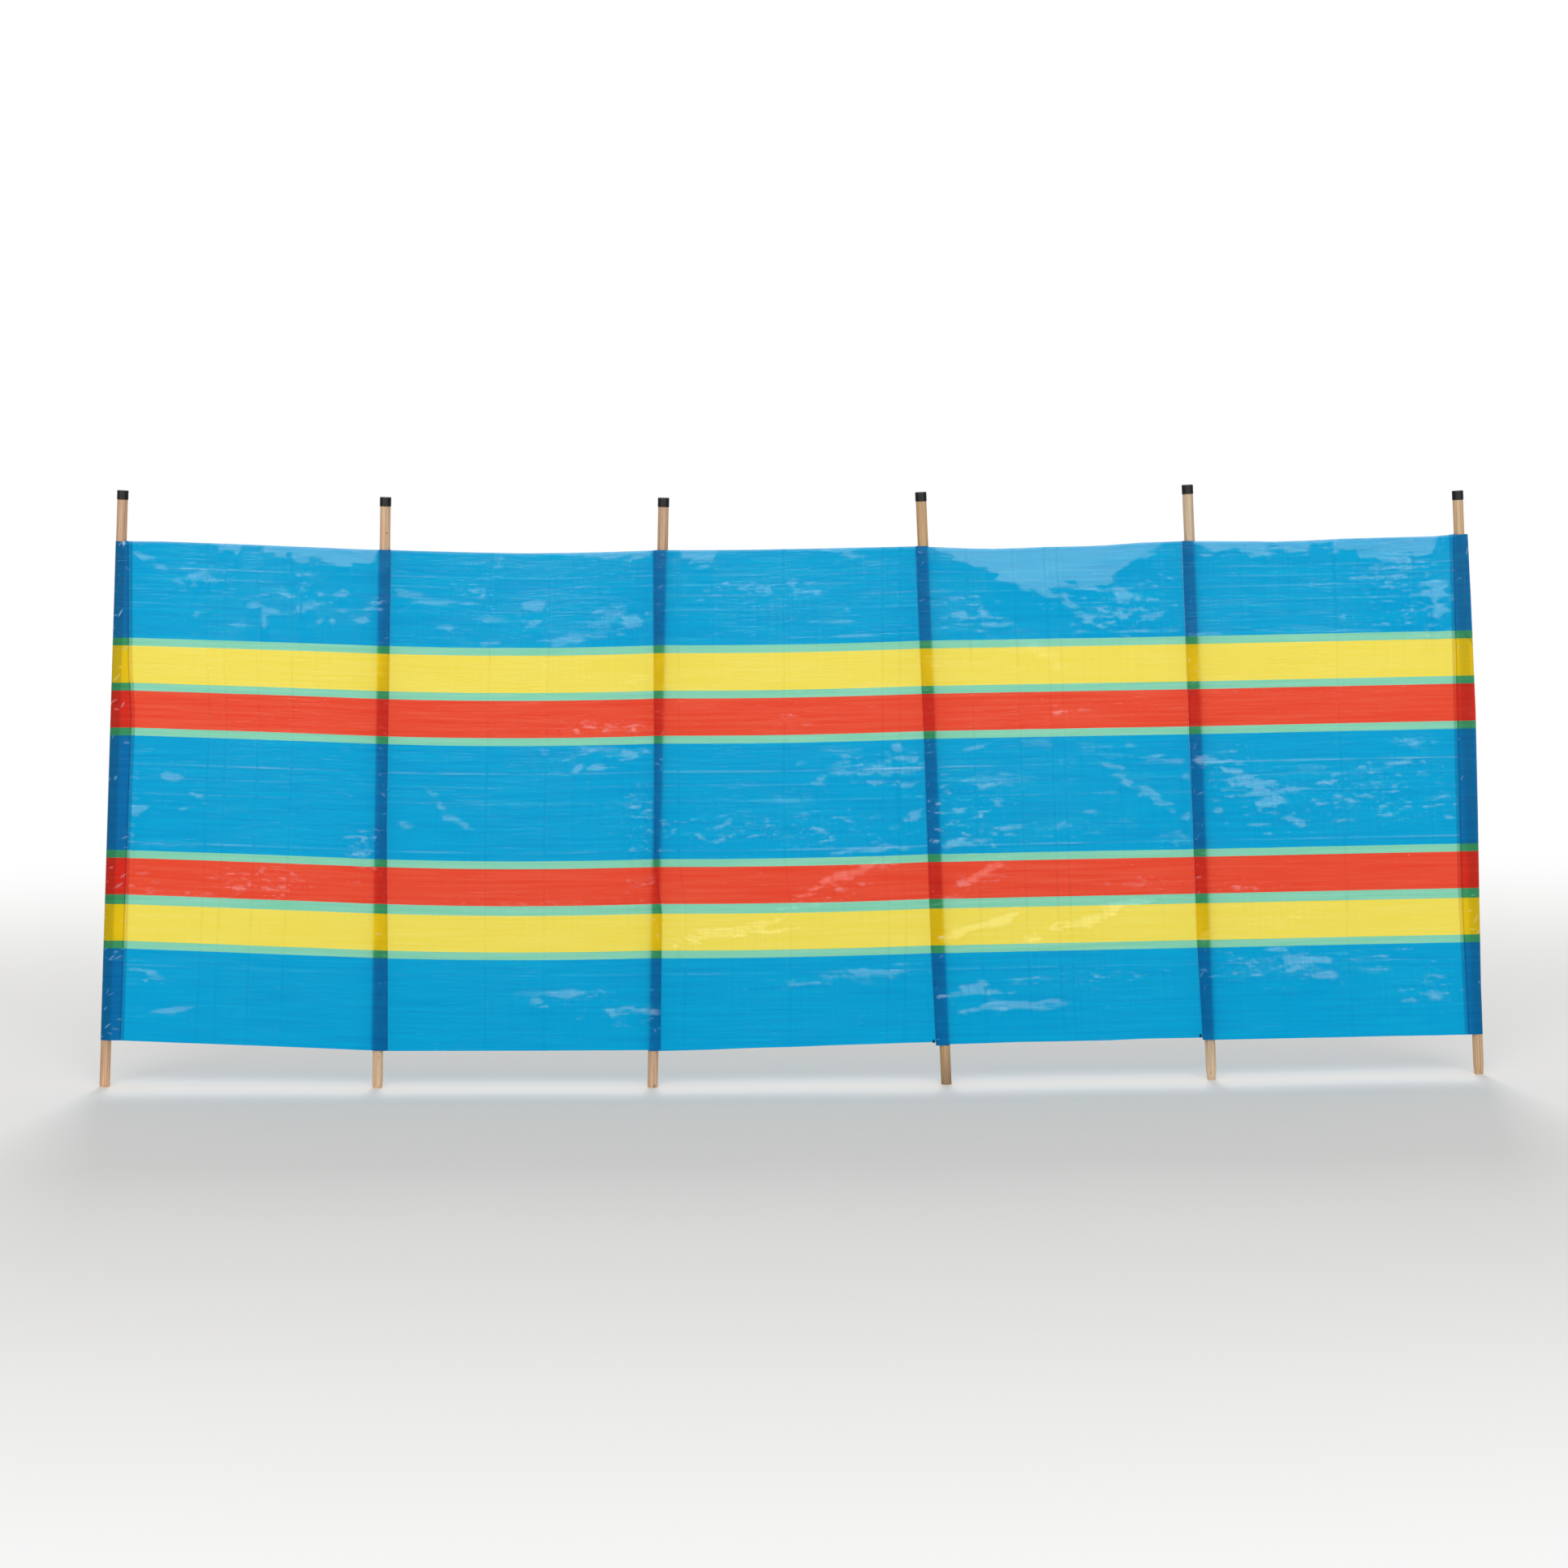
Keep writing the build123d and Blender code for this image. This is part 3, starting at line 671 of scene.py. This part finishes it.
def thread_bars(starts, ends, thickness):
    """Corners and faces of square bars from each start to its end, each as thick as its thickness."""
    run = ends - starts
    run = run / np.linalg.norm(run, axis=1, keepdims=True)
    aside = np.cross(run, [0.31, 0.87, 0.38])
    aside *= thickness[:, None] / 2 / np.linalg.norm(aside, axis=1, keepdims=True)
    across = np.cross(run, aside)
    ring = np.stack([aside + across, across - aside, -aside - across, aside - across], axis=1)
    corners = np.concatenate([starts[:, None] + ring, ends[:, None] + ring], axis=1)
    box = np.array([(0, 1, 2, 3), (7, 6, 5, 4), (0, 4, 5, 1), (1, 5, 6, 2), (2, 6, 7, 3), (3, 7, 4, 0)])
    faces = box[None] + 8 * np.arange(len(starts))[:, None, None]
    return corners.reshape(-1, 3), faces.reshape(-1, 4)


stitch_shares = np.arange(0.004, 0.996, stitch_pitch / cloth_height)
for pole in range(pole_count):
    end = pole in (0, pole_count - 1)
    side = 1 if pole == 0 else -1
    turn = sleeve_turns[pole]
    inset = along(turn) * side * -end_inset if end else along(turn) * 0
    front = seam_line(pole, stitch_shares) - back(turn) * (thread_thickness / 3) + inset
    rear = front + back(turn) * (hem_gap + thread_thickness if end else neck_depth)
    rows = [front, rear] if end else [rear]
    starts = np.concatenate(rows)
    ends = starts + upward(pole) * stitch_length
    thickness = np.full(len(starts), thread_thickness)
    if pole in knot_poles:
        knot = seam_line(pole, np.array([0.009])) - back(turn) * knot_width / 3 - along(turn) * knot_width
        for slant in ([1, 0, 1], [1, 0, -1], [0.2, 0, -1.6]):
            starts = np.concatenate([starts, knot - np.array(slant) * knot_width / 2])
            ends = np.concatenate([ends, knot + np.array(slant) * knot_width / 2])
            thickness = np.append(thickness, knot_thickness)
    corners, faces = thread_bars(starts, ends, thickness)
    mesh = bpy.data.meshes.new(f"seam_stitches_{pole + 1}")
    mesh.from_pydata(corners, [], faces.tolist())
    mesh.materials.append(black_thread)
    piece = bpy.data.objects.new(f"seam_stitches_{pole + 1}", mesh)
    bpy.context.scene.collection.objects.link(piece)
    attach(piece, "root")


# Poles
# Planed softwood dowel, pinkish tan and unvarnished, with the grain running up the stick. Each has
# its own tone with painted shade mixed in where less light reached it, and the feet carry painted
# light: lighter on the first, second, third and fifth poles, darker and damp on the fourth and sixth.
wood_tones_and_shade = ["#E3DDCD", "#F3F6E9", "#DAD6C8", "#DED9B5", "#E3F1EB", "#EBEDD6"]
# Shares at the ground: over one is painted light, under one is damp wood.
foot_light_and_damp_shares = [1.35, 1.1, 1.25, 0.5, 1.3, 0.95]
# One dark knot: its pole, mm to the right of the axis and over the cloth, and its radius. It lies on
# the pole's front, knot_forward before the axis.
dark_knot = (1, 5, 43, 2.4)
knot_forward = 0.0115


def pole_material(pole):
    """Wood of one pole: grain drawn out along its own axis, a few knots, a tone with painted shade in
    it, and a foot lightened as painted light on some poles and darkened by damp on others."""
    material, tree, output = new_material(f"planed_pine_dowel_{pole + 1}")
    place = add_node(tree, "ShaderNodeTexCoord").outputs["Object"]
    turned = add_node(tree, "ShaderNodeMapping", {
        "Vector": place, "Rotation": (0, -pole_leans[pole], 0), "Location": (0, 0, 0.7 * pole)})
    drawn = add_node(tree, "ShaderNodeMapping", {"Vector": turned.outputs[0], "Scale": (420, 420, 7)})
    grain = add_node(tree, "ShaderNodeTexNoise", {"Vector": drawn.outputs[0], "Scale": 1, "Detail": 4})
    ramp = add_node(tree, "ShaderNodeValToRGB", {"Fac": grain.outputs["Fac"]})
    ramp.color_ramp.elements[0].position = 0.33
    ramp.color_ramp.elements[0].color = linear("#BA8D70")
    ramp.color_ramp.elements[1].position = 0.6
    ramp.color_ramp.elements[1].color = linear("#E4BDA0")
    spots = add_node(tree, "ShaderNodeMapping", {"Vector": turned.outputs[0], "Scale": (60, 60, 22)})
    spot = add_node(tree, "ShaderNodeTexNoise", {"Vector": spots.outputs[0], "Scale": 1, "Detail": 1})
    knot = add_node(tree, "ShaderNodeMapRange", {"Value": spot.outputs["Fac"], "From Min": 0.7,
                                                 "From Max": 0.76, "To Min": 1, "To Max": 0.55})
    height = add_node(tree, "ShaderNodeSeparateXYZ", {"Vector": place}).outputs["Z"]
    # Towards the ground the colour is scaled by the foot share: painted light where it is over one, damp
    # where under.
    foot_light_and_damp = add_node(tree, "ShaderNodeMapRange", {
        "Value": height, "From Max": 0.12, "To Min": foot_light_and_damp_shares[pole], "To Max": 1})
    shade = add_node(tree, "ShaderNodeMath", {0: knot.outputs[0], 1: foot_light_and_damp.outputs[0]}, operation="MULTIPLY")
    if pole == dark_knot[0]:
        right, over, radius = [size / 1000 for size in dark_knot[1:]]
        centre = pole_axis(pole, np.array(1.0)) + over * upward(pole) + np.array([right, -knot_forward, 0])
        off = add_node(tree, "ShaderNodeVectorMath", {0: place, 1: centre.tolist()}, operation="DISTANCE")
        dark = add_node(tree, "ShaderNodeMapRange", {"Value": off.outputs["Value"], "From Min": 0.5 * radius,
                                                     "From Max": radius, "To Min": 0.25, "To Max": 1})
        shade = add_node(tree, "ShaderNodeMath", {0: shade.outputs[0], 1: dark.outputs[0]},
                         operation="MULTIPLY")
    # The pole's own tone, with painted shade in it.
    toned_and_shaded = add_node(tree, "ShaderNodeVectorMath", {
        0: ramp.outputs["Color"], 1: linear(wood_tones_and_shade[pole])[:3]}, operation="MULTIPLY")
    colour = add_node(tree, "ShaderNodeVectorMath", {0: toned_and_shaded.outputs[0]}, operation="SCALE")
    tree.links.new(shade.outputs[0], colour.inputs["Scale"])
    bump = add_node(tree, "ShaderNodeBump", {
        "Strength": 0.3, "Distance": 0.0004, "Height": grain.outputs["Fac"]})
    wood = add_node(tree, "ShaderNodeBsdfPrincipled", {
        "Base Color": colour.outputs[0], "Roughness": 0.55, "IOR": 1.32, "Normal": bump.outputs[0]})
    tree.links.new(wood.outputs[0], output.inputs["Surface"])
    return material


for pole in range(pole_count):
    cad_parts[f"pole_{pole + 1}"].data.materials[0] = pole_material(pole)


# Pole caps
# Black polyethylene cups, moulded and pushed on the pole tops; their tops and rounded rims are
# painted grey as a painted highlight of the sky.
def cap_material():
    """Moulded black plastic with a faint orange-peel surface, painted grey where it faces up, as a painted
    highlight.
    """
    material, tree, output = new_material("moulded_black_polyethylene")
    place = add_node(tree, "ShaderNodeTexCoord").outputs["Object"]
    peel = add_node(tree, "ShaderNodeTexNoise", {"Vector": place, "Scale": 900, "Detail": 2})
    ramp = add_node(tree, "ShaderNodeValToRGB", {"Fac": peel.outputs["Fac"]})
    ramp.color_ramp.elements[0].color = linear("#050505")
    ramp.color_ramp.elements[1].color = linear("#0E0E0E")
    facing = add_node(tree, "ShaderNodeNewGeometry").outputs["Normal"]
    upwards = add_node(tree, "ShaderNodeSeparateXYZ", {"Vector": facing}).outputs["Z"]
    # Painted highlight: grey on the faces that look up.
    painted_top_highlight = add_node(tree, "ShaderNodeMapRange", {"Value": upwards, "From Min": 0.15, "From Max": 0.5})
    colour = add_node(tree, "ShaderNodeMix", {
        0: painted_top_highlight.outputs[0], 6: ramp.outputs["Color"], 7: linear("#5E5E5A")}, data_type="RGBA").outputs[2]
    bump = add_node(tree, "ShaderNodeBump", {
        "Strength": 0.15, "Distance": 0.0003, "Height": peel.outputs["Fac"]})
    plastic = add_node(tree, "ShaderNodeBsdfPrincipled", {
        "Base Color": colour, "Roughness": 0.38, "IOR": 1.19, "Normal": bump.outputs[0]})
    tree.links.new(plastic.outputs[0], output.inputs["Surface"])
    return material


black_plastic = cap_material()
for pole in range(pole_count):
    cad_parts[f"pole_cap_{pole + 1}"].data.materials[0] = black_plastic


# Floor
# A plain pale floor that keeps the windbreak's shadow and turns to plain white away from it.
floor_size = 120.0
floor_centre = np.array([1.65, -0.05])
shaded_reach = (4.5, 3)


def seen_ray(tree):
    """One for rays from the eye, straight or by way of gloss and glass, and nought for those of light."""
    path = add_node(tree, "ShaderNodeLightPath").outputs
    gloss = add_node(tree, "ShaderNodeMath", {0: path["Is Camera Ray"], 1: path["Is Glossy Ray"]},
                     operation="MAXIMUM")
    return add_node(tree, "ShaderNodeMath", {0: gloss.outputs[0], 1: path["Is Transmission Ray"]},
                    operation="MAXIMUM").outputs[0]


def floor_material():
    """Matt pale floor near the windbreak, and plain white for the eye further off."""
    material, tree, output = new_material("matt_pale_floor")
    place = add_node(tree, "ShaderNodeTexCoord").outputs["Object"]
    near = add_node(tree, "ShaderNodeMapping", {
        "Vector": place, "Scale": (1 / shaded_reach[0], 1 / shaded_reach[1], 1),
        "Location": (-floor_centre[0] / shaded_reach[0], -floor_centre[1] / shaded_reach[1], 0)})
    far = add_node(tree, "ShaderNodeVectorMath", {0: near.outputs[0]}, operation="LENGTH")
    fade = add_node(tree, "ShaderNodeMapRange", {
        "Value": far.outputs["Value"], "From Min": 0.6, "From Max": 1.6}, interpolation_type="SMOOTHSTEP")
    seen = add_node(tree, "ShaderNodeMath", {0: fade.outputs[0], 1: seen_ray(tree)}, operation="MULTIPLY")
    matt = add_node(tree, "ShaderNodeBsdfDiffuse", {"Color": linear("#E6E5E3")})
    white = add_node(tree, "ShaderNodeEmission", {"Color": (1, 1, 1, 1), "Strength": 1})
    mixed = add_node(tree, "ShaderNodeMixShader", {
        0: seen.outputs[0], 1: matt.outputs[0], 2: white.outputs[0]})
    tree.links.new(mixed.outputs[0], output.inputs["Surface"])
    return material


floor_mesh = bpy.data.meshes.new("floor")
half = floor_size / 2
floor_corners = [(-half, -half, 0), (half, -half, 0), (half, half, 0), (-half, half, 0)]
floor_mesh.from_pydata(floor_corners, [], [(0, 1, 2, 3)])
floor_mesh.materials.append(floor_material())
floor = bpy.data.objects.new("floor", floor_mesh)
bpy.context.scene.collection.objects.link(floor)


# Light
# A white studio: even light all round, a soft lamp behind and above that shines through the cloth, and
# a very wide sky panel high behind the camera, seen only in the film's mirroring, where it leans back.
# A weak lamp in front fills the shade.
world = bpy.data.worlds.new("white_studio")
bpy.context.scene.world = world
world.use_nodes = True
world.node_tree.nodes.clear()
strength = add_node(world.node_tree, "ShaderNodeMapRange", {
    "Value": seen_ray(world.node_tree), "To Min": 0.59, "To Max": 1})
sky = add_node(world.node_tree, "ShaderNodeBackground", {
    "Color": (1, 1, 1, 1), "Strength": strength.outputs[0]})
add_node(world.node_tree, "ShaderNodeOutputWorld", {"Surface": sky.outputs[0]})


cloth_top_height = 1.3


def panel_light(name, distance, low_angle, high_angle, half_width, radiance):
    """An upright lamp across the view, from one elevation to another as seen from the cloth's top; a
    negative distance puts it on the camera's side. It gives the same radiance all over."""
    low, high = [cloth_top_height + abs(distance) * math.tan(math.radians(angle))
                 for angle in (low_angle, high_angle)]
    data = bpy.data.lights.new(name, "AREA")
    data.shape = "RECTANGLE"
    data.size = 2 * half_width
    data.size_y = high - low
    data.energy = radiance * math.pi * data.size * data.size_y
    panel = bpy.data.objects.new(name, data)
    panel.location = (floor_centre[0], distance, (low + high) / 2)
    panel.rotation_euler = (math.radians(90 if distance < 0 else -90), 0, 0)
    bpy.context.scene.collection.objects.link(panel)
    panel.visible_camera = False
    return panel


sky_panel = panel_light("sky_panel", -24, 8, 38, 36, 24)
sky_panel.data.color = (0.84, 0.84, 0.78)
sky_panel.visible_diffuse = False
sky_panel.visible_transmission = False
panel_light("back_lamp", 20, 25, 55, 4, 7.5)
panel_light("front_lamp", -20, 25, 55, 12, 2.3)

bpy.context.scene.view_settings.view_transform = "Standard"
